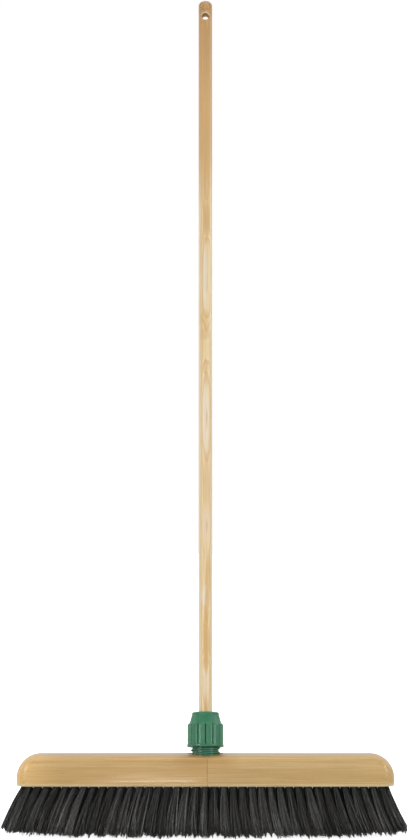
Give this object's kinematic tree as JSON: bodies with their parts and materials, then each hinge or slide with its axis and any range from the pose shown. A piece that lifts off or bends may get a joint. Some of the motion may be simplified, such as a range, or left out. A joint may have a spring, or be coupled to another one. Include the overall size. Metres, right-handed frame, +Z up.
{
  "type": "push broom",
  "caption": "Push broom with a domed wooden head, stiff dark tufts that flare outwards, a leaning round handle with a hang hole, and a threaded socket with a clamp nut.",
  "frame": {"origin": "centre of the flat face that the trimmed tufts sweep with, midway along the head", "axes": "+Z up through the stock, X along the head, and the handle leans back towards +Y"},
  "size_m": [0.6654, 0.2705, 1.38],
  "materials": {
    "stock_wood": "clear lacquered light hardwood, satin to gloss",
    "handle_wood": "clear lacquered pale softwood, satin",
    "green_plastic": "moulded green plastic, satin",
    "ring_plastic": "natural white moulded plastic, satin",
    "bristle": "stiff near-black fibre, matte with a slight sheen",
    "zinc_steel": "zinc-plated steel"
  },
  "bodies": {
    "head": {"stock_left_half": "stock_wood", "stock_right_half": "stock_wood", "tuft_row_front": "bristle", "tuft_row_front_inner": "bristle", "tuft_row_middle": "bristle", "tuft_row_back_inner": "bristle", "tuft_row_back": "bristle", "socket": "green_plastic", "socket_screw": "zinc_steel"},
    "grip_ring": {"grip_ring": "ring_plastic"},
    "clamp_nut": {"clamp_nut": "green_plastic"},
    "handle": {"handle": "handle_wood"}
  },
  "joints": [
    {"name": "grip_ring_slide", "type": "slide", "parent": "head", "child": "grip_ring", "axis": [0, 0.1736, 0.9848], "range_m": [0, 0.014]},
    {"name": "clamp_nut_turn", "type": "hinge", "parent": "grip_ring", "child": "clamp_nut", "pos_m": [0, 0.002, 0.127], "axis": [0, 0.1736, 0.9848], "range_deg": [0, 720]},
    {"name": "handle_pull", "type": "slide", "parent": "head", "child": "handle", "axis": [0, 0.1736, 0.9848], "range_m": [0, 0.08]}
  ],
  "couplings": [
    {"joint": "clamp_nut_turn", "follows": "grip_ring_slide", "rad_per_m": 897.6}
  ]
}
